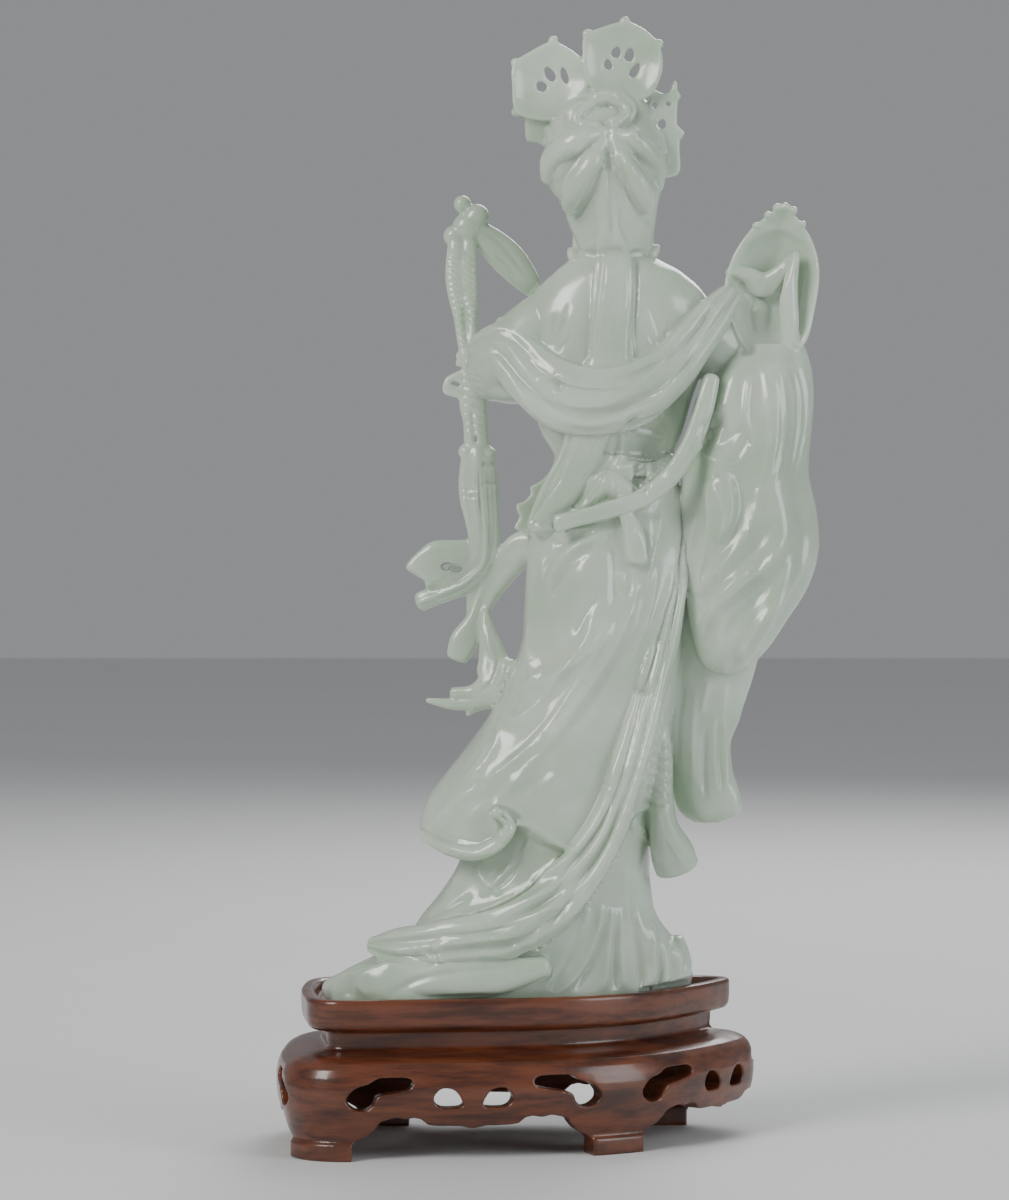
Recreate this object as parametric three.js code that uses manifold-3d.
// Carved jade maiden on a wire-inlaid hardwood stand, in millimetres, +Z up.
// The figure faces -Y, so its back is at +Y and its left hand is at +X.
import * as THREE from 'three';
import { mergeVertices } from 'three/addons/utils/BufferGeometryUtils.js';
import Module from 'manifold-3d';

const wasm = await Module();
wasm.setup();

// Driving dimensions
const FLOOR_OF_TRAY = 40.4;
const TRAY_RIM = 43.4;
const RECESS_EDGE = -4.8;
const PLAN_FACETS = 44;
const RESTING_GAP = 0.3;
const JADE_BOTTOM = FLOOR_OF_TRAY + RESTING_GAP;
const EYE = { x: 3, y: 1150, z: 175 };
const FACE_CENTRE = { x: -25.5, z: 266 };
const LEG_COUNT = 4;
const FIRST_LEG = { x: 52, y: 30 };
const APRON_IN = -4;
const APRON_OUT = 10;
const COLUMN_STEP = 2.5;
const JADE_FACETS = 7400;
const STAND_FACETS = 2400;
const BOX_CENTRE = { x: -8.93, y: -1.8 };

// Shared forms

/**
 * Moves a point drawn on the middle plane to its own depth along the line of sight.
 * The outlines below are drawn on the plane y = 0 as seen from EYE.
 */
function sighted(x, y, z) {
  const scale = (EYE.y - y) / EYE.y;
  return new THREE.Vector3(EYE.x + (x - EYE.x) * scale, y, EYE.z + (z - EYE.z) * scale);
}

/** Smooth curve through rows of numbers, read at t from 0 to 1. */
function smooth(rows, t) {
  const reach = t * (rows.length - 1);
  const start = Math.min(Math.floor(reach), rows.length - 2);
  const f = reach - start;
  const row = (k) => rows[THREE.MathUtils.clamp(k, 0, rows.length - 1)];
  const [a, b, c, d] = [row(start - 1), row(start), row(start + 1), row(start + 2)];
  return b.map((_, k) => {
    const [p, q, r, s] = [a[k] ?? 0, b[k] ?? 0, c[k] ?? 0, d[k] ?? 0];
    const bend = 2 * p - 5 * q + 4 * r - s;
    const rest = 3 * (q - r) + s - p;
    return q + 0.5 * f * (r - p + f * (bend + f * rest));
  });
}

/** Height of a curve drawn as [place, height] pairs, read at one place. */
function heightAt(pairs, place) {
  const rising = pairs[0][0] < pairs[pairs.length - 1][0] ? pairs : [...pairs].reverse();
  const end = rising.findIndex(([p]) => p >= place);
  if (end <= 0) return end === 0 ? rising[0][1] : rising[rising.length - 1][1];
  const [p0, h0] = rising[end - 1];
  const [p1, h1] = rising[end];
  return h0 + (h1 - h0) * (place - p0) / (p1 - p0);
}

/** Rounded-square wave: cosine or sine drawn out towards the corners. */
function rounded(value, squareness) {
  return Math.sign(value) * Math.abs(value) ** (2 / squareness);
}

/** Closed solid through a row of rings, with a fan over each end. */
function skin(rings) {
  const around = rings[0].length;
  const points = rings.flat();
  const faces = [];
  const corner = (ring, k) => ring * around + (k % around);
  for (let ring = 0; ring < rings.length - 1; ring++) {
    for (let k = 0; k < around; k++) {
      faces.push(corner(ring, k), corner(ring, k + 1), corner(ring + 1, k));
      faces.push(corner(ring, k + 1), corner(ring + 1, k + 1), corner(ring + 1, k));
    }
  }
  for (const [ring, turned] of [[0, true], [rings.length - 1, false]]) {
    const middle = new THREE.Vector3();
    rings[ring].forEach((point) => middle.addScaledVector(point, 1 / around));
    const hub = points.push(middle) - 1;
    for (let k = 0; k < around; k++) {
      const pair = [corner(ring, k), corner(ring, k + 1)];
      faces.push(hub, ...(turned ? pair.reverse() : pair));
    }
  }
  const geometry = new THREE.BufferGeometry().setFromPoints(points);
  geometry.setIndex(faces);
  return geometry;
}

/** Volume inside a closed triangle mesh, negative when its faces point inwards. */
function signedVolume(vertices, triangles) {
  const at = (k) => new THREE.Vector3().fromArray(vertices, 3 * triangles[k]);
  let volume = 0;
  for (let k = 0; k < triangles.length; k += 3) {
    volume += at(k).dot(at(k + 1).cross(at(k + 2))) / 6;
  }
  return volume;
}

/** Solid for joining and cutting from a closed three.js geometry. */
function solid(geometry) {
  const bare = geometry.clone();
  bare.deleteAttribute('normal');
  bare.deleteAttribute('uv');
  const merged = mergeVertices(bare, 1e-4);
  const vertProperties = Float32Array.from(merged.attributes.position.array);
  const triVerts = Uint32Array.from(merged.index.array);
  if (signedVolume(vertProperties, triVerts) < 0) triVerts.reverse();
  return new wasm.Manifold(new wasm.Mesh({ numProp: 3, vertProperties, triVerts }));
}

/** Joins a list of solids into one. */
function joined(solids) {
  return solids.reduce((whole, piece) => whole.add(piece));
}

/** Geometry of a finished solid with at most the given number of facets. */
function geometryOf(shape, facets) {
  const { points, faces } = thinned(shape.getMesh(), facets);
  const geometry = new THREE.BufferGeometry().setFromPoints(points);
  geometry.setIndex(faces.flat());
  geometry.computeVertexNormals();
  return geometry;
}

/** Faces of the largest connected skin, which leaves out sealed hollows and loose chips. */
function largestSkin(faces, count) {
  const parent = Array.from({ length: count }, (_, k) => k);
  const root = (k) => {
    while (parent[k] !== k) k = parent[k] = parent[parent[k]];
    return k;
  };
  faces.forEach(([a, b, c]) => {
    parent[root(a)] = root(b);
    parent[root(b)] = root(c);
  });
  const groups = new Map();
  faces.forEach((face) => {
    const key = root(face[0]);
    if (!groups.has(key)) groups.set(key, []);
    groups.get(key).push(face);
  });
  return [...groups.values()].sort((p, q) => q.length - p.length)[0];
}

/** Sum of squared distances to planes, as the ten numbers of a symmetric form. */
class PlaneError {
  constructor() {
    this.terms = new Float64Array(10);
  }

  addPlane({ x, y, z }, w, weight) {
    [x * x, x * y, x * z, x * w, y * y, y * z, y * w, z * z, z * w, w * w]
      .forEach((value, k) => { this.terms[k] += weight * value; });
  }

  add(other) {
    other.terms.forEach((value, k) => { this.terms[k] += value; });
  }

  at({ x, y, z }) {
    const q = this.terms;
    return q[0] * x * x + q[4] * y * y + q[7] * z * z + q[9]
      + 2 * (q[1] * x * y + q[2] * x * z + q[3] * x + q[5] * y * z + q[6] * y + q[8] * z);
  }
}

/** Merges neighbouring points where the surface is nearly flat, until few enough facets are left. */
function thinned({ vertProperties, triVerts }, facets) {
  const points = Array.from({ length: vertProperties.length / 3 },
    (_, k) => new THREE.Vector3().fromArray(vertProperties, 3 * k));
  const all = Array.from({ length: triVerts.length / 3 }, (_, k) => [...triVerts.slice(3 * k,
    3 * k + 3)]);
  const skinFaces = largestSkin(all, points.length);
  const around = points.map(() => new Set());
  const errors = points.map(() => new PlaneError());
  const normalOf = ([a, b, c]) => {
    const edge = points[b].clone().sub(points[a]);
    return edge.cross(points[c].clone().sub(points[a]));
  };
  skinFaces.forEach((face) => {
    const normal = normalOf(face);
    const area = normal.length();
    if (area > 0) normal.divideScalar(area);
    const w = -normal.dot(points[face[0]]);
    face.forEach((k) => {
      around[k].add(face);
      errors[k].addPlane(normal, w, area);
    });
  });
  const neighbours = (k) => new Set([...around[k]].flat().filter((other) => other !== k));
  const costOf = (gone, kept) => (
    errors[gone].at(points[kept]) + 1e-4 * points[gone].distanceToSquared(points[kept]));
  const mayMerge = (gone, kept) => {
    const ring = neighbours(kept);
    const shared = [...neighbours(gone)].filter((k) => ring.has(k));
    if (shared.length !== 2) return false;
    return [...around[gone]].every((face) => {
      if (face.includes(kept)) return true;
      const before = normalOf(face);
      const after = normalOf(face.map((k) => (k === gone ? kept : k)));
      return after.length() > 1e-3 && before.dot(after) > 0.3 * before.length() * after.length();
    });
  };
  const stamps = points.map(() => 0);
  const queue = [];
  const offer = (gone, kept) => {
    queue.push({ cost: costOf(gone, kept), gone, kept, stamp: stamps[gone] + stamps[kept] });
    let k = queue.length - 1;
    while (k > 0 && queue[(k - 1) >> 1].cost > queue[k].cost) {
      const up = (k - 1) >> 1;
      [queue[k], queue[up]] = [queue[up], queue[k]];
      k = up;
    }
  };
  const cheapest = () => {
    const top = queue[0];
    const last = queue.pop();
    if (queue.length === 0) return top;
    queue[0] = last;
    let k = 0;
    for (;;) {
      const [l, r] = [2 * k + 1, 2 * k + 2];
      let low = k;
      if (l < queue.length && queue[l].cost < queue[low].cost) low = l;
      if (r < queue.length && queue[r].cost < queue[low].cost) low = r;
      if (low === k) return top;
      [queue[k], queue[low]] = [queue[low], queue[k]];
      k = low;
    }
  };
  skinFaces.forEach((face) => face.forEach((k, i) => {
    offer(k, face[(i + 1) % 3]);
    offer(face[(i + 1) % 3], k);
  }));
  let left = skinFaces.length;
  while (left > facets && queue.length > 0) {
    const { gone, kept, stamp } = cheapest();
    if (around[gone].size === 0 || around[kept].size === 0) continue;
    if (stamp !== stamps[gone] + stamps[kept] || !mayMerge(gone, kept)) continue;
    for (const face of [...around[gone]]) {
      if (face.includes(kept)) {
        face.forEach((k) => around[k].delete(face));
        left -= 1;
      } else {
        face[face.indexOf(gone)] = kept;
        around[kept].add(face);
      }
    }
    around[gone].clear();
    errors[kept].add(errors[gone]);
    stamps[kept] += 1;
    neighbours(kept).forEach((k) => {
      offer(k, kept);
      offer(kept, k);
    });
  }
  const renumbered = new Map();
  const faces = [...new Set(around.flatMap((set) => [...set]))];
  faces.flat().forEach((k) => {
    if (!renumbered.has(k)) renumbered.set(k, renumbered.size);
  });
  return {
    points: [...renumbered.keys()].map((k) => points[k]),
    faces: faces.map((face) => face.map((k) => renumbered.get(k))),
  };
}

/**
 * Band, cord or limb drawn along a route.
 * Rows are [x, y, z, half width, half thickness, roll in degrees]. The width lies across
 * the route in the picture plane and the thickness towards the viewer. Ribs are carved folds.
 */
function band({ rows, sides = 6, steps = 5, squareness = 2, ribs = 0, ribDepth = 0 }) {
  const rings = [];
  const towards = new THREE.Vector3(0, 1, 0);
  for (let step = 0; step <= steps; step++) {
    const t = step / steps;
    const [x, y, z, wide, thick, roll = 0] = smooth(rows, t);
    const before = smooth(rows, Math.max(0, t - 0.02));
    const after = smooth(rows, Math.min(1, t + 0.02));
    const heading = sighted(...after.slice(0, 3)).sub(sighted(...before.slice(0, 3))).normalize();
    const across = heading.clone().cross(towards).normalize();
    across.applyAxisAngle(heading, THREE.MathUtils.degToRad(roll));
    const outward = across.clone().cross(heading);
    const ring = [];
    for (let k = 0; k < sides; k++) {
      const angle = 2 * Math.PI * k / sides;
      const c = rounded(Math.cos(angle), squareness);
      const s = rounded(Math.sin(angle), squareness);
      const rib = ribs ? ribDepth * Math.cos(Math.PI * ribs * c) * (1 - c ** 4) * Math.sign(s) : 0;
      ring.push(sighted(x, y, z).addScaledVector(across, wide * c).addScaledVector(outward,
        thick * s + rib));
    }
    rings.push(ring);
  }
  return solid(skin(rings));
}

/**
 * Body or garment built from level sections.
 * Rows are [z, left x, right x, front y, back y, skew], the skew being how far y moves with x.
 */
function garment({ rows, sides = 28, steps = 10, squareness = 2.2, fold = () => 0, hem = null }) {
  const rings = [];
  for (let step = 0; step <= steps; step++) {
    const t = step / steps;
    const [z, left, right, front, back, skew = 0] = smooth(rows, t);
    const ring = [];
    for (let k = 0; k < sides; k++) {
      const angle = 2 * Math.PI * k / sides;
      const c = rounded(Math.cos(angle), squareness);
      const s = rounded(Math.sin(angle), squareness);
      const out = 1 + fold(angle, t);
      const x = (left + right) / 2 + (left - right) / 2 * c * out;
      const y = (front + back) / 2 + (back - front) / 2 * s * out + skew * (x - EYE.x);
      ring.push(sighted(x, y, hem ? hem(x, y, z) : z));
    }
    rings.push(ring);
  }
  return solid(skin(rings));
}

/** Egg or ball with its own three radii. */
function pebble(x, y, z, rx, ry, rz, sides = 10, turn = 0) {
  const ball = new THREE.SphereGeometry(1, sides, Math.max(3, Math.round(sides / 2)));
  ball.rotateX(Math.PI / 2);
  ball.scale(rx, ry, rz);
  ball.rotateY(THREE.MathUtils.degToRad(turn));
  ball.translate(...sighted(x, y, z).toArray());
  return solid(ball);
}

/** Closed smooth outline through [x, z] points. */
function outline(points, count, bend = 0.5) {
  const corners = points.map(([x, z]) => new THREE.Vector3(x, 0, z));
  return new THREE.CatmullRomCurve3(corners, true, 'catmullrom',
    bend).getSpacedPoints(count).slice(0, -1);
}

/** Cupped plate: an outline whose middle is sunk away from the viewer. */
function dish({ points, y, depth, thick, count = 28, bend = 0.5, lean = 0 }) {
  const rim = outline(points, count, bend);
  const centre = rim.reduce((sum, p) => sum.addScaledVector(p, 1 / rim.length), new THREE.Vector3());
  const level = (share, face) => rim.map((p) => {
    const x = centre.x + (p.x - centre.x) * share;
    const z = centre.z + (p.z - centre.z) * share;
    return sighted(x, y - depth * (1 - share ** 2) + face * thick + lean * (z - centre.z), z);
  });
  const shares = [0.3, 0.7, 0.92];
  const backs = shares.map((share) => level(share, 1));
  const fronts = shares.map((share) => level(share, -1)).reverse();
  return solid(skin([...backs, level(1, 0.35), level(1, -0.35), ...fronts]));
}

/** Flat carved piece of one thickness, with its edges bevelled. Tilt is how far y moves with x. */
function slab({ points, y, thick, bevel = 0.6, tilt = 0 }) {
  const shape = new THREE.Shape(points.map(([x, z]) => new THREE.Vector2(x, z)));
  const plate = new THREE.ExtrudeGeometry(shape, {
    depth: 2 * (thick - bevel), bevelThickness: bevel, bevelSize: bevel, bevelOffset: -bevel,
    bevelSegments: 1, steps: 1, curveSegments: 4,
  });
  const position = plate.attributes.position;
  for (let k = 0; k < position.count; k++) {
    const [x, z, deep] = [position.getX(k), position.getY(k), position.getZ(k) - thick + bevel];
    const placed = sighted(x, y + deep + tilt * (x - points[0][0]), z);
    position.setXYZ(k, placed.x, placed.y, placed.z);
  }
  return solid(plate);
}

/** Teardrop or round opening through a plate, from the viewer's side to the front. */
function opening({ x, z, rx, rz, turn = 0, y, deep, sides = 5 }) {
  const lean = -THREE.MathUtils.degToRad(turn);
  const ring = (offset) => Array.from({ length: sides }, (_, k) => {
    const angle = 2 * Math.PI * k / sides;
    const [a, b] = [rx * Math.cos(angle), rz * Math.sin(angle)];
    return sighted(x + a * Math.cos(lean) - b * Math.sin(lean), y + offset,
      z + a * Math.sin(lean) + b * Math.cos(lean));
  });
  return solid(skin([ring(-deep), ring(deep)]));
}

/** Cuts a list of openings out of a solid. */
function pierced(shape, openings) {
  return openings.reduce((kept, hole) => kept.subtract(opening(hole)), shape);
}

/** Box between two corners. */
function block(low, high) {
  const size = high.map((value, k) => value - low[k]);
  const box = new THREE.BoxGeometry(...size);
  box.translate(...low.map((value, k) => value + size[k] / 2));
  return solid(box);
}

// Skirts

const GOWN_ROWS = [
  [39, 50, -49.5, -20, 20, 0.25],
  [44, 50.5, -50, -20, 20, 0.25],
  [48, 47.5, -50, -20, 20, 0.25],
  [53, 38, -49, -20, 20, 0.22],
  [58, 30, -44, -19.5, 20, 0.18],
  [64, 26, -39.5, -19, 19.5, 0.12],
  [71, 20.5, -38, -18.5, 19, 0.08],
  [80, 15.5, -37.5, -18, 18.5, 0.05],
  [92, 14, -39, -17.5, 18, 0],
  [104, 13, -41, -17, 18, 0],
];
const OVERSKIRT_ROWS = [
  [84, 26, -39, -21, 22],
  [90, 25.7, -40.5, -21, 22],
  [97, 23.6, -41.5, -21, 22],
  [103, 19.6, -42, -20.5, 22],
  [111, 13.5, -42.5, -20, 21.5],
  [120, 7.2, -44, -19.5, 21],
  [130, 2.2, -46, -19, 20.5],
  [140, -1.5, -47, -18.5, 20],
  [150, -2.3, -47, -18, 19.5],
  [161, -3, -48, -17.5, 18.5],
  [172, -4.5, -48, -16.5, 17],
  [182, -8.3, -46.5, -14.5, 14.5],
  [191, -11.8, -44, -12.5, 12],
];
const BACK_HEM = [
  [26.5, 86], [20, 81.3], [12, 79.8], [5, 82.5], [0, 89.5], [-4, 88.5],
  [-10, 84], [-18, 81], [-26, 86], [-33, 92], [-42, 95],
];
const FRONT_HEM = [[26.5, 86], [14, 82], [4, 90], [-8, 82], [-20, 90], [-31, 82], [-42, 93]];
const HEM_START = 104;

/** Cloth of the overskirt hangs from HEM_START down to a scalloped edge. */
function hangToHem(x, y, z) {
  if (z >= HEM_START) return z;
  const lowest = OVERSKIRT_ROWS[0][0];
  const edge = heightAt(y > 0 ? BACK_HEM : FRONT_HEM, x);
  return HEM_START - (HEM_START - z) * (HEM_START - edge) / (HEM_START - lowest);
}

/** Soft upright folds, stronger towards the ground. */
function skirtFolds(count, depth, turn) {
  return (angle, t) => {
    const wave = Math.cos(count * angle + turn * t);
    return depth * (1 - 0.75 * t) * wave;
  };
}

/** Depth of the skirt's back (side 1) or front (side -1) at a place, so that folds can lie on it. */
function faceOfSkirt(x, z, side) {
  const rows = [...GOWN_ROWS.slice(0, 7), ...OVERSKIRT_ROWS];
  const read = (column) => heightAt(rows.map((row) => [row[0], row[column] ?? 0]), z);
  const [left, right, front, back, skew] = [1, 2, 3, 4, 5].map(read);
  const share = Math.min(0.98, Math.abs(x - (left + right) / 2) / ((left - right) / 2));
  const height = (1 - share ** 2.2) ** (1 / 2.2);
  return (front + back) / 2 + side * (back - front) / 2 * height + skew * (x - EYE.x);
}

/** Raised fold that follows the skirt through [x, z, half width] places. */
function fold(places, side) {
  const rows = places.map(([x, z, wide]) => {
    const depth = faceOfSkirt(x, z, side) + side * (FOLD_RISE - wide * 0.9);
    return [x, depth, z, wide, wide * 0.9];
  });
  return band({ rows, sides: 4, steps: 6 });
}

const FOLD_RISE = 1.2;
const SKIRT_FOLDS = [
  [[-29, 150, 1], [-24, 142, 2], [-17, 133, 2.2], [-8, 126, 2], [0, 120.5, 1.6], [5, 113, 1]],
  [[-33, 156, 1], [-28, 143, 2.2], [-20, 129, 2.4], [-11, 117, 2.4], [-1, 108, 2.2], [10, 100, 2],
    [22, 89.5, 1.4]],
  [[-38, 161, 1], [-33, 145, 2], [-25, 130, 2.4], [-17, 118, 2.6], [-7, 107, 2.6], [2, 98.5, 2.4],
    [7, 93, 1.6]],
  [[-6, 172, 1.4], [-14, 169, 2.2], [-22, 172, 1.6], [-30, 175, 1]],
  [[-2.4, 152, 0.9], [-2.6, 140, 1.5], [1.5, 129, 1.8], [7, 119, 1.6], [13, 108, 1.2]],
  [[-43.5, 176, 1.2], [-43, 160, 2], [-40.5, 148, 2.2], [-37, 136, 2], [-33, 124, 1.4]],
  [[17, 76, 1.2], [10, 84, 1.6], [2, 80, 1.8], [-5, 72, 1.8], [-8, 66, 1.2]],
  [[-33, 84, 1.6], [-30, 70, 2.2], [-24, 56, 2.4], [-14, 45, 2.2], [-11, 40, 2]],
  [[-35, 80, 1.5], [-34, 66, 2], [-30, 52, 2.4], [-27, 40, 2.4]],
];
const FRONT_FOLDS = [
  [[-14, 182, 1], [-10, 162, 1.8], [-5, 140, 2.2], [3, 118, 2.4], [13, 98, 2.2], [18, 88, 1.6]],
  [[-17, 180, 1], [-15, 158, 1.8], [-12, 134, 2.2], [-7, 112, 2.4], [0, 92, 1.8]],
  [[-33, 180, 1], [-33, 158, 1.8], [-32.5, 134, 2.2], [-31.5, 112, 2.4], [-31, 90, 1.8]],
  [[-39, 180, 1], [-40, 158, 1.6], [-40, 134, 2], [-38.5, 112, 2.2], [-37.5, 98, 1.6]],
  [[-8, 86, 1.4], [-5, 72, 2], [2, 58, 2.4], [14, 46, 2.2], [20, 40, 2]],
  [[4, 84, 1.4], [10, 72, 2], [20, 60, 2.2], [34, 50, 1.8]],
  [[-22, 88, 1.4], [-23, 70, 2.2], [-24, 52, 2.6], [-24, 40, 2.6]],
  [[-32, 84, 1.4], [-35, 68, 2], [-39, 54, 2.2], [-41, 42, 2.2]],
];

function skirts() {
  const gown = garment({ rows: GOWN_ROWS, sides: 22, steps: 7, fold: skirtFolds(7, 0.03, 3) });
  const overskirt = garment({
    rows: OVERSKIRT_ROWS, sides: 24, steps: 10, fold: skirtFolds(7, 0.022, 4), hem: hangToHem,
  });
  const hemRoll = band({
    rows: [[26, 6, 86.5, 1.4, 1.8], [19, 17, 82.5, 1.8, 1.8], [11.5, 20.5, 81.2, 2, 2],
      [5, 21.5, 84, 2, 2.2], [1.5, 22, 89, 1.8, 2.2], [5.5, 22.5, 93, 1.4, 1.6]],
    sides: 5, steps: 7,
  });
  const sash = band({
    rows: [[-45, 4, 172, 3, 3], [-43.5, 9, 155, 4.2, 3.4], [-41, 13, 140, 4.8, 3.6],
      [-37, 16, 125, 4.6, 3.8],
      [-33, 18, 110, 4.7, 4], [-28.3, 19.5, 95, 5, 4], [-21.3, 20.5, 82, 5.7, 4.2],
        [-10, 21.5, 66.8, 7, 4.2],
      [4, 21.5, 58.5, 6.8, 4.2], [20, 20, 56, 6.1, 4], [33, 15, 54.8, 5.4, 4], [39.3, 11, 55.5, 2.6, 3]],
    sides: 10, steps: 12, squareness: 2.3, ribs: 3, ribDepth: 0.7,
  });
  const train = band({
    rows: [[-8, 20, 49.5, 3, 3.4], [6, 21.5, 46.5, 5, 3.6], [22, 21, 45.5, 5, 4],
      [37, 18, 45.3, 4.6, 4.5],
      [45, 13, 44.5, 4.2, 5], [49.8, 6, 43.5, 3.6, 5]],
    sides: 6, steps: 6, squareness: 2.6,
  });
  const ribbedEdge = band({
    rows: [[-41.3, 3, 118, 1.8, 5], [-41, 5, 107, 3.2, 6], [-40.5, 6, 97, 3.8, 6.5],
      [-41.5, 6, 89, 4.2, 6],
      [-43.8, 5, 82, 6, 5], [-45.4, 4, 77.3, 6.2, 3.4]],
    sides: 6, steps: 6, squareness: 2.4,
  });
  const stump = [[-35.5, -1, 59], [-41, -4.5, 58.5], [-46.5, -9, 57]].map(([x, y, top]) => band({
    rows: [[x + 1, y, top, 2, 4], [x, y, top - 6, 3, 6], [x - 0.3, y, 42, 3.2, 7],
      [x - 0.3, y, 39, 3.2, 7]],
    sides: 5, steps: 3, squareness: 2.6,
  }));
  const toes = [[6, 46], [-14, 46]].map(([x, z]) => pebble(x, -21, z, 5, 6, 4.5, 8));
  return [gown, overskirt, hemRoll, sash, train, ribbedEdge, ...stump, ...toes,
    ...SKIRT_FOLDS.map((places) => fold(places, 1)), ...FRONT_FOLDS.map((places) => fold(places, -1))];
}

// Torso and arms

const TORSO_ROWS = [
  [186, -10.5, -44.5, -13.5, 13],
  [192, -11.2, -44, -12.5, 11.5],
  [200, -6.8, -47, -14.5, 12.5],
  [210, -3.8, -50, -16.5, 13.5],
  [221, -3.2, -54, -16.5, 14.5],
  [231, -2, -55.5, -14.5, 14.5],
  [238, -5, -53, -12, 13.5],
  [244, -11, -46.5, -9.5, 12],
  [249, -16.5, -38, -7.5, 9.5],
  [256, -19.5, -33.5, -7, 8],
];

function torso() {
  const trunk = garment({ rows: TORSO_ROWS, sides: 20, steps: 9, squareness: 2.2 });
  const collars = [
    [[-39, 5, 250, 1.4, 2.4], [-35, -6, 244, 1.6, 2], [-27, -13.5, 231, 1.8, 1.8],
      [-19, -15, 220, 1.6, 1.6],
      [-13, -13.5, 208, 1.2, 1.4]],
    [[-16, 5, 249, 1.4, 2.4], [-18, -6, 244, 1.6, 2], [-26, -14.2, 231, 1.8, 1.8],
      [-34, -15, 219, 1.6, 1.6],
      [-41, -12.5, 207, 1.2, 1.4]],
  ].map((rows) => band({ rows, sides: 4, steps: 6 }));
  const belt = garment({
    rows: [[186, -8.6, -46.8, -15.2, 14.4], [189.5, -10.3, -45.8, -14.8, 13.6],
      [193, -11, -45, -14.2, 12.8]],
    sides: 16, steps: 1, squareness: 2.2,
  });
  const frontSash = band({
    rows: [[-27, -15, 190, 3.6, 2.4], [-26.5, -18.5, 176, 4.2, 2.4], [-25, -20.5, 158, 5, 2.4],
      [-23, -21.5, 138, 5.6, 2.4], [-21, -22, 118, 6, 2.2]],
    sides: 6, steps: 6, squareness: 2.6, ribs: 2, ribDepth: 0.5,
  });
  const knot = [pebble(-27, -17, 189, 4.4, 3.6, 3.6, 7), pebble(-22.3, -16.5, 191, 3.8, 2.4, 2.4, 6),
    pebble(-31.7, -16.5, 191, 3.8, 2.4, 2.4, 6)];
  const bustle = [
    band({ rows: [[-19, 13.5, 178, 1.6, 2], [-25, 14.5, 185, 3.6, 2.8], [-30, 14.5, 183, 3.4, 2.8],
      [-36, 14, 179, 2, 2]], sides: 6, steps: 4 }),
    band({ rows: [[-31, 17.5, 176, 2, 1.8], [-33.5, 18.2, 170, 2.8, 2], [-34, 18.6, 163.5, 2.6, 1.8]],
      sides: 5, steps: 3, squareness: 2.8 }),
  ];
  return [trunk, ...collars, belt, frontSash, ...knot, ...bustle];
}

function shawl() {
  const across = band({
    rows: [[9.5, -1, 222.5, 4.6, 4], [2.8, 5, 223, 7.2, 4.2], [-5, 10.5, 214.8, 8.2, 4.2],
      [-13.2, 14, 209.2, 9.2, 4],
      [-23, 15.5, 208, 9, 3.8], [-33, 15.5, 210, 8.8, 3.8], [-43, 14.5, 216.8, 7.3, 4],
        [-49.5, 12.5, 224, 6, 4.2],
      [-55.2, 9.5, 231.5, 5.3, 4.6], [-59, 5, 236.5, 3.8, 4.6]],
    sides: 10, steps: 12, squareness: 2.3, ribs: 3, ribDepth: 0.7,
  });
  const knob = pebble(3.6, 3, 229.6, 2, 2.2, 2.1, 6);
  const tail = band({
    rows: [[-54.8, 13, 214, 2.4, 2.4], [-52.6, 15, 205, 2.7, 2.2], [-49, 16, 195.5, 2.7, 2],
      [-43.5, 16.5, 187, 2.7, 2],
      [-36, 17, 181, 2.6, 2], [-26, 18, 177.4, 2.3, 1.8], [-17, 18.8, 175.3, 2.2, 1.6],
        [-11.8, 18.5, 174, 2.2, 1.4]],
    sides: 5, steps: 10, squareness: 2.6,
  });
  return [across, knob, tail];
}

/** Hand: a palm with four bent fingers and a thumb closed round a shaft. */
function hand({ x, y, z, turn, reach = 1 }) {
  const palm = pebble(x, y, z, 3.6, 3.2, 4.4, 8, turn);
  const fingers = [-1.5, -0.5, 0.5, 1.5].map((place) => {
    const up = z + place * 1.9;
    return band({
      rows: [[x - reach * 2.5, y - 1.5, up, 0.95, 1], [x, y - 3.8, up + 0.3, 1, 1.1],
        [x + reach * 3, y - 2.6, up, 0.8, 0.9]],
      sides: 4, steps: 2,
    });
  });
  return [palm, ...fingers];
}

function leftArm() {
  const upperArm = band({
    rows: [[-12, 0, 233, 8, 8], [-4, 1, 227, 8.5, 8.5], [3, 0, 219.5, 9.3, 9], [5, -3, 216, 8.6, 8.6],
      [2, -8, 214.5, 6, 7]],
    sides: 9, steps: 5,
  });
  const cuffFold = band({
    rows: [[8, -2, 214, 4, 6], [3.5, 0, 210.8, 3.4, 6], [-2, 1, 209.4, 2.4, 5]], sides: 6, steps: 3,
  });
  const forearm = band({
    rows: [[5, -6, 215, 7, 7.5], [0, -12, 219, 6.4, 6.4], [-6, -17.5, 225.5, 5, 5],
      [-10, -19.5, 232, 3.2, 3.2]],
    sides: 8, steps: 4,
  });
  return [upperArm, cuffFold, forearm, ...hand({ x: -9.5, y: -19.5, z: 234.5, turn: 40 })];
}

function sceptre() {
  const shaft = band({
    rows: [[-10, -18.5, 232.5, 1.8, 1.8], [-6, -17.5, 238.3, 2.6, 2.4], [-2.4, -16.5, 242.6, 4, 2.6],
      [2, -15.5, 247.6, 4.9, 2.7], [6.4, -14.5, 251.9, 4.4, 2.6], [10, -13.5, 255, 3.4, 2.5],
        [13, -13, 257, 3, 2.5]],
    sides: 6, steps: 7,
  });
  const lobes = [[10.8, 259.4, 3.7, 3.2], [17.1, 254, 3.1, 2.8], [13.3, 256.4, 4.4, 3.4],
    [14.8, 263, 2.5, 2.3]]
    .map(([x, z, wide, thick]) => pebble(x, -13, z, wide, thick, wide, 7));
  return [shaft, ...lobes];
}

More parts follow.
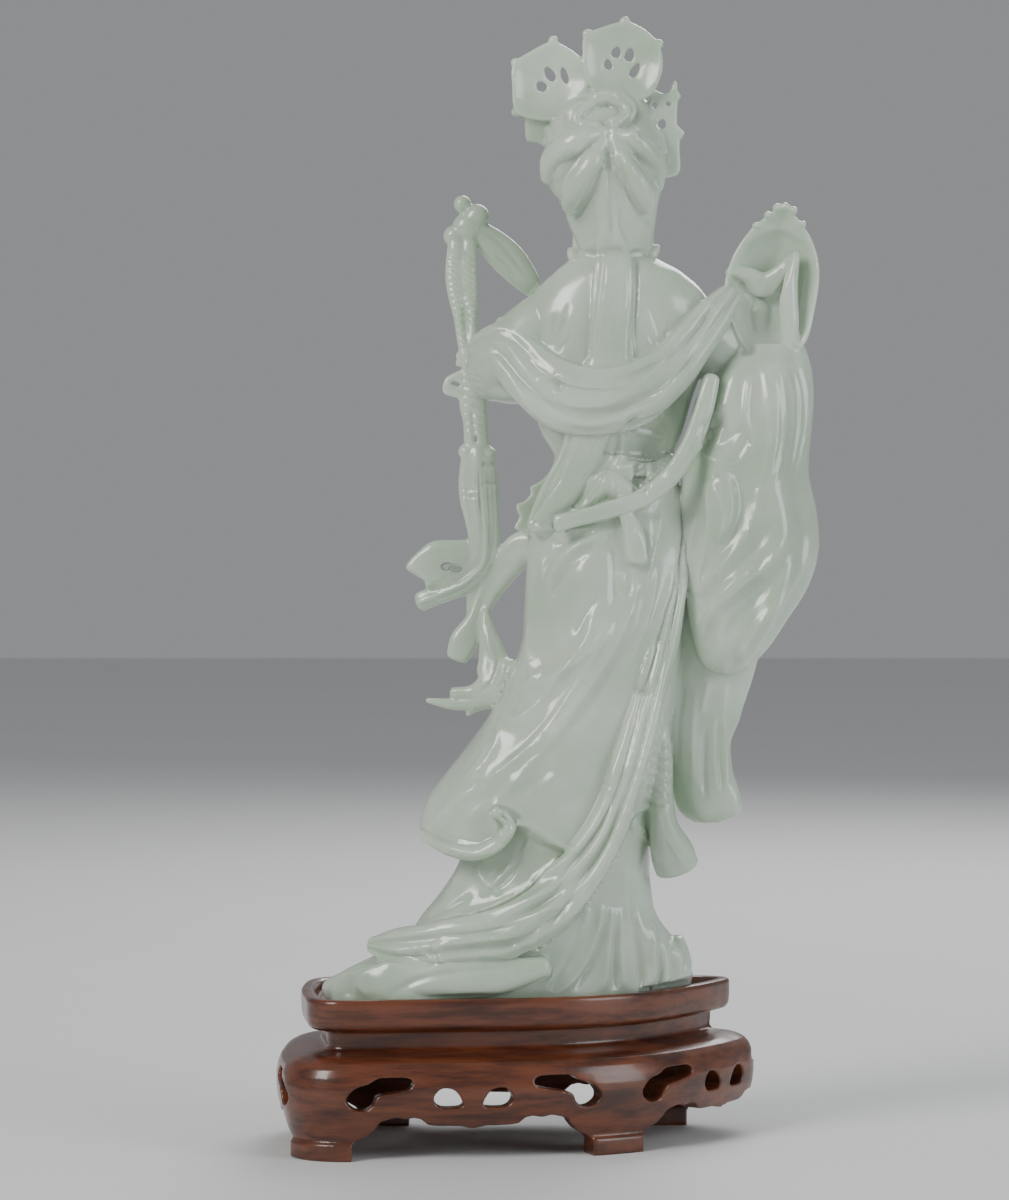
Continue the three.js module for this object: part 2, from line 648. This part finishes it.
function cordsAndTassels() {
  const strands = [
    [[16.3, 252, 2.6], [17, 244, 2.7], [16.6, 238, 2.4], [15.8, 231, 1.5], [14.6, 224, 1.6],
      [12.8, 217, 2]],
    [[12.9, 252, 2.3], [13.2, 245, 2.5], [12.8, 238, 2.3], [12, 231, 1.6], [11.9, 224, 2],
      [11.6, 217, 2.4]],
  ].map((places) => band({
    rows: places.map(([x, z, wide], k) => [x, -12 + k, z, wide, 2]), sides: 5, steps: 8,
  }));
  const knots = [[15.4, 220.6, 1.3], [15.7, 218.6, 1.1], [13.7, 193.8, 2.3], [7.6, 193.1, 2.3]]
    .map(([x, z, r]) => pebble(x, z > 200 ? -8 : -7, z, r, r, r, 6));
  const loop = slab({
    points: [[13.5, 216.6], [16.5, 216.2], [19.4, 214.6], [20.4, 212.2], [20, 210], [17, 209],
      [13.5, 208.3]],
    y: -7.5, thick: 1.6, bevel: 0.5,
  });
  const lowerCord = band({
    rows: [[11.8, -7.5, 217, 3.2, 2.6], [11.9, -7.5, 208, 3.9, 2.4], [11.2, -7.2, 202, 3.5, 2.3],
      [10.8, -7, 195, 3.6, 2.3]],
    sides: 6, steps: 3,
  });
  const tassel = band({
    rows: [[10.7, -7, 193.5, 4.4, 2.8], [10.4, -7, 187, 5.5, 3.4], [10.1, -7, 181, 5.6, 3.4],
      [9.3, -7.5, 175, 4.9, 3.2],
      [8.7, -8, 169, 4.5, 3.2], [9.3, -8.5, 162.5, 4.4, 3.2], [14.5, -9, 157, 3.3, 3],
        [20.5, -9.5, 154.3, 2.8, 2.6],
      [26.4, -10, 151.9, 2.8, 2.2]],
    sides: 7, steps: 11,
  });
  const loopEnd = slab({
    points: [[10, 169.5], [15, 169.2], [22.3, 169], [25.6, 167.4], [30.8, 161.6], [25.6, 157.8],
      [24.5, 155.5],
      [16, 156], [10, 161]],
    y: -9, thick: 2.4, bevel: 0.8,
  });
  const whole = joined([...strands, ...knots, loop, lowerCord, tassel, loopEnd]);
  return pierced(whole, [
    { x: 16.5, z: 212.7, rx: 1.6, rz: 0.6, turn: -20, y: -7, deep: 6 },
    { x: 11, z: 197.6, rx: 0.4, rz: 1.5, y: -7, deep: 6 },
    { x: 10.8, z: 191.3, rx: 0.75, rz: 0.75, y: -7, deep: 6 },
    { x: 9.8, z: 179.3, rx: 0.22, rz: 1.9, y: -7, deep: 6 },
    { x: 17.8, z: 161.3, rx: 3.1, rz: 1.4, turn: -8, y: -9, deep: 7, sides: 7 },
  ]);
}

function hipRibbons() {
  const ornament = slab({
    points: [[-14, 191], [-9.5, 188], [-7.6, 186], [-5.8, 184.9], [-4.1, 184], [-4.3, 182],
      [-2.5, 180], [-0.4, 179.2],
      [-0.3, 177.6], [-1.2, 175.6], [0.4, 172.4], [-3, 171], [-10, 169], [-16, 178]],
    y: -2, thick: 3.4, bevel: 0.8, tilt: 0.35,
  });
  const upper = band({
    rows: [[-9, -5, 168, 4.6, 4], [-1.5, -7, 166.3, 5, 2.8], [3.6, -8, 160, 4, 2.4],
      [8, -8.5, 153.2, 3.1, 2.2],
      [11.2, -8.5, 146.5, 3, 2.2], [14.4, -8, 140.8, 4, 2], [16.2, -7.5, 136.2, 3.2, 1.5]],
    sides: 6, steps: 7, squareness: 2.4,
  });
  const link = band({
    rows: [[11.2, -8.5, 158, 2.2, 2], [12.3, -9.5, 153, 1.4, 1.8],
      [11.8, -9.5, 147, 2, 1.8]], sides: 5, steps: 3,
  });
  const lower = [
    [[8.6, -7.5, 149, 1.4, 2], [7.8, -6.5, 143.5, 2.4, 2.4], [6.6, -5.5, 138, 3.7, 2.8],
      [6, -4.5, 133, 4.8, 3],
      [7.5, -4, 128.6, 4, 3], [12, -4.5, 126.4, 2.2, 2.2], [17.3, -5, 126.3, 1.6, 1.6]],
    [[0.5, -3, 133, 4.2, 3.6], [4.5, -3, 127, 3.6, 3.2], [11, -4, 123.6, 2, 2], [18, -5, 123.2, 1.6, 1.6],
      [24.6, -5.5, 124.2, 0.7, 1]],
    [[6, -4, 124.5, 2.4, 2.4], [11, -4.5, 122.4, 1.4, 1.8], [13.4, -4.5, 120.2, 0.6, 1]],
  ].map((rows) => band({ rows, sides: 6, steps: 6, squareness: 2.4 }));
  return [ornament, upper, link, ...lower];
}

// Right sleeve and the cupped leaf held above it

const SLEEVE_ROWS = [
  [131.6, -56.5, -61.5, 0, 6],
  [134, -52.5, -65.5, -4, 10],
  [139, -50.2, -70.3, -8, 13],
  [147, -48.5, -75.5, -10, 15],
  [156, -47.6, -81, -12, 16],
  [166, -47.2, -84, -13, 16.5],
  [177, -47, -83.6, -14, 16.5],
  [188, -47.4, -81.6, -14.5, 16],
  [199, -49, -82.5, -15, 15.5],
  [209, -51.5, -83.4, -14.5, 14.5],
  [217, -55.5, -83, -13, 12.5],
  [224, -61, -81, -10, 8],
];
const PANEL_ROWS = [
  [89.8, -50.5, -57, -6, 1],
  [92.5, -46.8, -63, -8, 3],
  [97, -44.8, -63.7, -8.5, 3.5],
  [105, -43.4, -61.2, -8.5, 3.5],
  [112, -42.5, -60.4, -8.5, 4],
  [120, -42, -63.2, -9, 4],
  [130, -42, -66.6, -9.5, 4],
  [142, -42.5, -70, -10, 5],
  [156, -44, -76, -10, 6],
];

function rightArm() {
  const folds = (angle, t) => (0.045 + 0.03 * (1 - t)) * Math.cos(7 * angle - 4 * (1 - t));
  const sleeve = garment({ rows: SLEEVE_ROWS, sides: 26, steps: 10, squareness: 2.1, fold: folds });
  const panel = garment({
    rows: PANEL_ROWS, sides: 14, steps: 7, squareness: 2.3,
    fold: (angle, t) => 0.06 * (1 - t) * Math.cos(5 * angle),
  });
  const shoulder = band({
    rows: [[-44, 0, 231, 9, 9], [-53, -1, 226, 9.5, 9.5], [-61, -3, 217, 9, 9], [-67, -4, 210, 8, 8]],
    sides: 7, steps: 3,
  });
  const forearm = band({
    rows: [[-67, -3, 212, 6.5, 6.5], [-67.5, -2, 222, 5.2, 5],
      [-68, -1, 231, 3.4, 3.2]], sides: 6, steps: 2,
  });
  const creases = [
    [[-67, 8, 221, 1, 1.2], [-71.5, 13.5, 212, 1.5, 1.6], [-72, 15.5, 200, 1.7, 1.7],
      [-66, 16.5, 180, 1.6, 1.6],
      [-57, 16, 158, 1.2, 1.4]],
    [[-69, 7, 222, 1, 1.2], [-76, 11.5, 213, 1.5, 1.6], [-77.5, 13, 200, 1.6, 1.7],
      [-74.5, 15, 182, 1.8, 1.7],
      [-66, 16.5, 163, 1.7, 1.6], [-54, 15.5, 143, 1.2, 1.2]],
    [[-71, 6, 223, 1, 1.2], [-79, 8, 215, 1.4, 1.6], [-80.5, 9, 200, 1.5, 1.7],
      [-79.5, 11, 180, 1.8, 1.7],
      [-74, 13.5, 161, 1.8, 1.6], [-63, 14, 141, 1.4, 1.2]],
    [[-63, 10, 218, 1, 1.2], [-58, 14.5, 206, 1.6, 1.6], [-54, 15.5, 190, 1.7, 1.7],
      [-54.5, 15.8, 172, 1.6, 1.6],
      [-51.5, 14.5, 155, 1.1, 1.2]],
  ].map((rows) => band({ rows, sides: 4, steps: 7 }));
  const mouth = pebble(-65.3, 12, 223.2, 3.6, 7, 2.8, 8, 20);
  const arm = joined([sleeve, panel, shoulder, ...creases]).subtract(mouth);
  return [arm, forearm, ...hand({ x: -68, y: -1.5, z: 232, turn: -20, reach: -1 })];
}

function cuppedLeaf() {
  const leaf = dish({
    points: [[-58.5, 240], [-60.6, 248], [-65, 255], [-69.8, 259.3], [-75, 262.2], [-79.5, 258.2],
      [-83.4, 252],
      [-85.1, 244], [-83.8, 233.5], [-81, 224], [-74, 219.5], [-64.5, 222], [-60, 231]],
    y: 4, depth: 8, thick: 2, count: 22, lean: -0.05,
  });
  const lip = band({
    rows: [[-59.5, 3.5, 244, 1, 2], [-65, 2, 243, 2.4, 2.2], [-69, 1, 240.5, 3.6, 2.4],
      [-73, 2, 243, 2.4, 2],
      [-77.5, 3.5, 248.5, 1, 1.4]],
    sides: 5, steps: 6,
  });
  const roll = band({
    rows: [[-78.5, 5, 249, 1.2, 1.6], [-77, 5.5, 241, 2, 2.2], [-76.5, 5.5, 232, 2.6, 2.6],
      [-77, 4.5, 224, 2.6, 2.4]],
    sides: 5, steps: 4,
  });
  const beads = [[-73.2, 262, 1.3], [-75.5, 262.3, 1.2], [-77.8, 261.2, 1.2], [-70.6, 260, 1.1],
    [-80.4, 257.4, 1],
    [-67.2, 257, 1]].map(([x, z, r]) => pebble(x, 4, z, r, 1.6, r, 5));
  return [leaf, lip, roll, ...beads];
}

// Head

const HAIR_ROWS = [
  [247, -19, -37, -3, 9.5],
  [252, -17.2, -38.2, -5, 12.5],
  [257.5, -14.8, -39.2, -6, 14.5],
  [263, -12.9, -40, -6.5, 16.5],
  [268, -9.2, -41.2, -7.5, 18],
  [274, -8.2, -41.6, -9, 18],
  [280, -8.3, -41.2, -11, 17],
  [286, -9.5, -39.5, -12, 14],
  [292, -14, -36.5, -11.5, 9.5],
  [297, -20, -32, -8, 4],
];

function hair() {
  const mass = garment({ rows: HAIR_ROWS, sides: 20, steps: 9, squareness: 2.2 });
  const tab = slab({
    points: [[-2.6, 287], [-3, 280.7], [-6, 280], [-9, 279], [-12, 283], [-11, 289], [-5, 290]],
    y: 0, thick: 4, bevel: 1,
  });
  const fans = [
    {
      rim: [[-10.5, 308.2], [-4.5, 305.8], [0.6, 302], [0.9, 296], [0.1, 289], [-5, 286.5],
        [-11, 286.5], [-17, 289],
        [-20, 294], [-20.5, 300], [-17, 305]],
      holes: [[-7.3, 295.8, 1.4, 1.6, 40], [-9.6, 299.2, 1.3, 2.3, 30], [-13.7, 298.9, 0.95, 2.6, 15]],
      beads: [[-10.6, 308.6], [-0.1, 302.4], [-0.2, 288.7]],
    },
    {
      rim: [[-30.5, 313.9], [-24, 312.3], [-19.3, 310], [-18.8, 305], [-19.5, 299], [-22, 294.5],
        [-27, 292],
        [-33, 291.5], [-38, 293.5], [-40.9, 299], [-41.2, 304], [-39.8, 308], [-36, 311.8]],
      holes: [[-25.9, 301.9, 1.05, 1.6, 10], [-28.2, 305.3, 1.25, 1.7, -20], [-31.9, 304.6, 1.25, 2, -15],
        [-33.4, 300.3, 1.05, 2.4, -30]],
      beads: [[-30.6, 314], [-20, 310.4], [-40.1, 307.6]],
    },
  ].map(fan);
  const locks = [
    [[-22, 11, 291, 1.5, 1.5], [-17.2, 11.5, 288.5, 2.4, 2.4], [-17.5, 12.5, 285, 2.2, 2.4],
      [-23, 15, 284, 2, 2]],
    [[-22, 11, 292, 2, 1.8], [-26, 11.5, 293, 2.2, 2], [-31, 11.5, 290.5, 2.4, 2.2],
      [-31, 13, 287, 2, 2.2],
      [-27, 15, 285.5, 2, 2]],
    [[-25, 16, 283, 2, 1.8], [-17, 16.5, 280, 3.2, 2.4], [-11, 12, 276, 3.6, 2.6],
      [-10, 9.5, 270, 3, 2.4]],
    [[-25, 16.5, 281, 2, 1.8], [-21, 18, 275, 3.2, 2.2], [-16.5, 16.5, 268, 3.4, 2.4],
      [-15.5, 13, 262, 2.6, 2.2]],
    [[-27, 16.5, 281, 2, 1.8], [-30.5, 18, 275, 3.2, 2.2], [-35, 16, 268, 3.4, 2.4],
      [-36.5, 12.5, 262, 2.6, 2.2]],
    [[-27, 16, 283, 2, 1.8], [-34, 15.5, 279, 3, 2.4], [-39, 10.5, 274, 3, 2.6], [-39, 9, 268, 2.6, 2.4]],
    [[-25.5, 17.5, 272, 2, 1.6], [-25.5, 16, 263, 3, 2], [-26.5, 13, 255, 4, 2.2],
      [-27.5, 11, 249, 5, 2]],
  ].map((rows) => band({ rows, sides: 6, steps: 5 }));
  const tress = band({
    rows: [[-28, 9.5, 252, 5, 2.6], [-27.3, 13, 243, 5.4, 2.4], [-27, 14.8, 230, 6, 2.2],
      [-26.3, 14.8, 218, 6.4, 2.2],
      [-21.5, 14, 203, 6.2, 2.4], [-17.8, 13, 192, 5.6, 2.4], [-11.8, 12, 181, 5.4, 2.6],
        [-7, 11, 172, 4.2, 2.4]],
    sides: 6, steps: 11, squareness: 2.4,
  });
  const plate = slab({
    points: [[-37.5, 294.5], [-41, 293.8], [-43, 294.4], [-44.1, 297.2], [-45.3, 297],
      [-45.4, 294.6], [-46.4, 293],
      [-45.5, 291.4], [-45.3, 285], [-47.4, 282.8], [-46, 280.4], [-46.2, 273], [-45.2, 271],
        [-41.5, 270.3],
      [-37, 272]],
    y: 1, thick: 2, bevel: 0.5,
  });
  const eyelets = [[-38.9, 290.5, 0.8, 0.8], [-42.7, 290.9, 0.8, 0.8], [-41, 285.3, 1.1, 1.4]]
    .map(([x, z, rx, rz]) => ({ x, z, rx, rz, y: 1, deep: 5 }));
  return [mass, tab, ...fans, ...locks, tress, pierced(plate, eyelets)];
}

/** Pierced, cupped disc of the headdress with beads on its rim. */
function fan({ rim, holes, beads }) {
  const cup = dish({ points: rim, y: 4.5, depth: 3, thick: 1.7, count: 16, lean: -0.06 });
  const knobs = beads.map(([x, z]) => pebble(x, 4, z, 1.4, 1.6, 1.4, 5));
  const cuts = holes.map(([x, z, rx, rz, turn]) => ({ x, z, rx, rz, turn, y: 2, deep: 9 }));
  return pierced(joined([cup, ...knobs]), cuts);
}

function face() {
  const { x, z } = FACE_CENTRE;
  const skull = pebble(x, -4, z + 1, 11.4, 12, 14.5, 12);
  const jaw = pebble(x, -6.5, z - 7, 8.2, 8.2, 7.8, 10);
  const nose = band({
    rows: [[x, -15.3, z + 3, 0.9, 1], [x, -16.3, z - 0.5, 1.1, 1.2], [x, -17.2, z - 3.2, 1.5, 1.3],
      [x, -15.6, z - 4.4, 1.2, 0.8]],
    sides: 5, steps: 3,
  });
  const lids = [-1, 1].map((side) => pebble(x + side * 4.3, -13.6, z + 1.7, 2.5, 1.5, 1.1, 6));
  const brows = [-1, 1].map((side) => band({
    rows: [[x + side * 1.8, -15, z + 4.4, 0.6, 0.8], [x + side * 4.6, -14.5, z + 5.6, 0.6, 0.8],
      [x + side * 7.6, -12, z + 4.6, 0.4, 0.6]],
    sides: 4, steps: 3,
  }));
  const lips = [pebble(x, -14.6, z - 6.6, 2.5, 1.4, 0.8, 6), pebble(x, -14.4, z - 7.9, 2, 1.4, 0.85, 6)];
  const chin = pebble(x, -12.6, z - 11.2, 3, 2.4, 2.4, 7);
  const ears = [-1, 1].map((side) => pebble(x + side * 11.4, -2.5, z - 1, 1.5, 2.4, 4, 6));
  const pendants = [
    [[-16.4, -1, 258, 1, 1], [-17, 0, 253.5, 1, 1], [-16.8, 1, 248.5, 1.2, 1.2]],
    [[-38.2, -1, 260, 1, 1], [-37.9, 0, 255, 1, 1], [-37.6, 1, 250, 1.2, 1.2]],
  ].map((rows) => band({ rows, sides: 5, steps: 2 }));
  const hairline = [-1, 1].map((side) => band({
    rows: [[x, -14.6, z + 10.5, 1.6, 2], [x + side * 6, -13.6, z + 9.5, 2.2, 2.4],
      [x + side * 10, -9.5, z + 5, 2.4, 2.6],
      [x + side * 11.6, -5.5, z - 2, 1.8, 2.2]],
    sides: 6, steps: 4,
  }));
  const crown = band({
    rows: [[x + 12.5, -8, z + 13, 2.4, 1.6], [x + 7.5, -12.6, z + 15.5, 3, 1.6],
      [x, -14.6, z + 17, 3.6, 1.6],
      [x - 7.5, -12.6, z + 15.5, 3, 1.6], [x - 12.5, -8, z + 13, 2.4, 1.6]],
    sides: 6, steps: 6, squareness: 2.6,
  });
  return [skull, jaw, nose, ...lids, ...brows, ...lips, chin, ...ears, ...pendants, ...hairline, crown];
}

// Wooden stand

const TRAY_PLAN = [
  [50, 30.5], [28, 28.8], [2, 25.8], [-20, 20], [-37, 9.5], [-50, -6], [-58.5, -20], [-61.5, -28.5],
    [-55, -33.5],
  [-30, -33.5], [10, -33], [48, -32], [57.5, -26], [60.2, -8], [58.5, 14], [56, 26],
];
const STAND_PROFILE = [
  [-4.4, FLOOR_OF_TRAY], [-3.6, 42.6], [-2.6, TRAY_RIM], [-0.9, TRAY_RIM], [0, 42.4], [0, 38.6], [-0.5, 36],
    [-2, 34.7], [-5.4, 34.4],
  [-5.8, 29.4], [-2.6, 28.3], [2.2, 27.4], [5.4, 25.4], [6.8, 21.5], [6.8, 16], [5.6, 10.5],
    [4.4, 5.6], [5.4, 4.6],
  [5.4, 0], [-2.2, 0], [-1.8, 5.2], [0.6, 12], [1.4, 19], [-1.4, 22.8], [-9, 23.6],
];
const planCurve = new THREE.CatmullRomCurve3(TRAY_PLAN.map(([x, y]) => new THREE.Vector3(x, y, 0)), true);
planCurve.arcLengthDivisions = 600;
const PLAN_LENGTH = planCurve.getLength();

/** Point of the stand's plan at an arc length, pushed out by a distance. */
function planPoint(length, out, z) {
  const share = ((length / PLAN_LENGTH) % 1 + 1) % 1;
  const along = planCurve.getTangentAt(share);
  const outward = new THREE.Vector3(along.y, -along.x, 0);
  const place = planCurve.getPointAt(share).addScaledVector(outward, out);
  place.z = z;
  return place;
}

/** Arc length of the plan point nearest to a place. */
function nearestLength({ x, y }) {
  const target = new THREE.Vector3(x, y, 0);
  let best = 0;
  for (let length = 0; length < PLAN_LENGTH; length += 0.25) {
    const closer = planPoint(length, 0, 0).distanceTo(target) < planPoint(best, 0, 0).distanceTo(target);
    if (closer) best = length;
  }
  return best;
}

/** Cutter through the apron under a low edge, in columns that follow the plan. */
function archCutter(lowEdge, middle) {
  const reach = lowEdge[0][0];
  const columns = 2 * Math.round(reach / COLUMN_STEP);
  const rings = Array.from({ length: columns + 1 }, (_, k) => {
    const s = reach * (2 * k / columns - 1);
    const top = heightAt(lowEdge, Math.abs(s));
    return [[APRON_IN, -1], [APRON_OUT, -1], [APRON_OUT, top], [APRON_IN, top]]
      .map(([out, z]) => planPoint(middle + s, out, z));
  });
  return solid(skin(rings));
}

/** Cutter through the apron: a small outline pushed through along the plan's outward lines. */
function holeCutter(points, middle) {
  const ring = (out) => points.map(([s, z]) => planPoint(middle + s, out, z));
  return solid(skin([ring(APRON_IN), ring(APRON_OUT)]));
}

/** Mirrors an outline about the middle of its bay. */
function mirrored(points) {
  return points.map(([s, z]) => [-s, z]).reverse();
}

/** Openings of one bay between two legs, in [place from the middle, height]. */
function bayCutters(middle, width) {
  const half = width / 2;
  const lowEdge = [[half - 7.4, 4.4], [half - 10, 6.4], [half - 13.5, 9], [half - 17, 11.6],
    [half - 26, 11.6], [half - 28.5, 9.6], [0, 9.2]];
  const scroll = [[half - 6, 17], [half - 7.6, 14.6], [half - 10.5, 14], [half - 12.6, 15.5],
    [half - 14, 18], [half - 20, 19.2], [half - 23.4, 20.4], [half - 22.6, 22.6],
    [half - 14.5, 22.8], [half - 11.5, 21.3], [half - 8, 20]];
  const eye = [[2.6, 15.5], [4.4, 14.6], [9, 14.8], [10.6, 17.4], [8.4, 19.8], [4.8, 19.2]];
  const holes = [scroll, mirrored(scroll), eye, mirrored(eye)];
  return [archCutter(lowEdge, middle), ...holes.map((points) => holeCutter(points, middle))];
}

/** Ring of points round the stand's plan, pushed out by a distance. */
function planRing(out, z) {
  return Array.from({ length: PLAN_FACETS }, (_, k) => planPoint(k * PLAN_LENGTH / PLAN_FACETS, out, z));
}

function stand() {
  const rings = STAND_PROFILE.map(([out, z]) => planRing(out, z));
  const firstLeg = nearestLength(FIRST_LEG);
  const width = PLAN_LENGTH / LEG_COUNT;
  let body = solid(skin(rings));
  for (let bay = 0; bay < LEG_COUNT; bay++) {
    const cutters = bayCutters(firstLeg + (bay + 0.5) * width, width);
    body = cutters.reduce((kept, cutter) => kept.subtract(cutter), body);
  }
  return body;
}

// Whole object

/** The carved figure, cut flat below and fitted inside the rim of the tray. */
function maiden() {
  const carved = joined([
    ...skirts(), ...torso(), ...shawl(), ...leftArm(), ...sceptre(), cordsAndTassels(),
    ...hipRibbons(), ...rightArm(), ...cuppedLeaf(), ...hair(), ...face(),
  ]);
  const rimTop = TRAY_RIM + RESTING_GAP;
  const below = block([-120, -120, 0], [120, 120, rimTop]);
  const recess = solid(skin([planRing(RECESS_EDGE, JADE_BOTTOM), planRing(RECESS_EDGE, rimTop + 1)]));
  return carved.subtract(below.subtract(recess));
}

const jade = new THREE.MeshStandardMaterial({ color: 0xb7c8b6, roughness: 0.25, metalness: 0 });
const hardwood = new THREE.MeshStandardMaterial({ color: 0x5a2e1c, roughness: 0.4, metalness: 0 });

const group = new THREE.Group();
const pieces = [
  { name: 'jade_maiden', shape: maiden(), facets: JADE_FACETS, material: jade },
  { name: 'wooden_stand', shape: stand(), facets: STAND_FACETS, material: hardwood },
];
for (const { name, shape, facets, material } of pieces) {
  const mesh = new THREE.Mesh(geometryOf(shape, facets), material);
  mesh.name = name;
  group.add(mesh);
}
group.position.set(-BOX_CENTRE.x, -BOX_CENTRE.y, 0);

export default group;
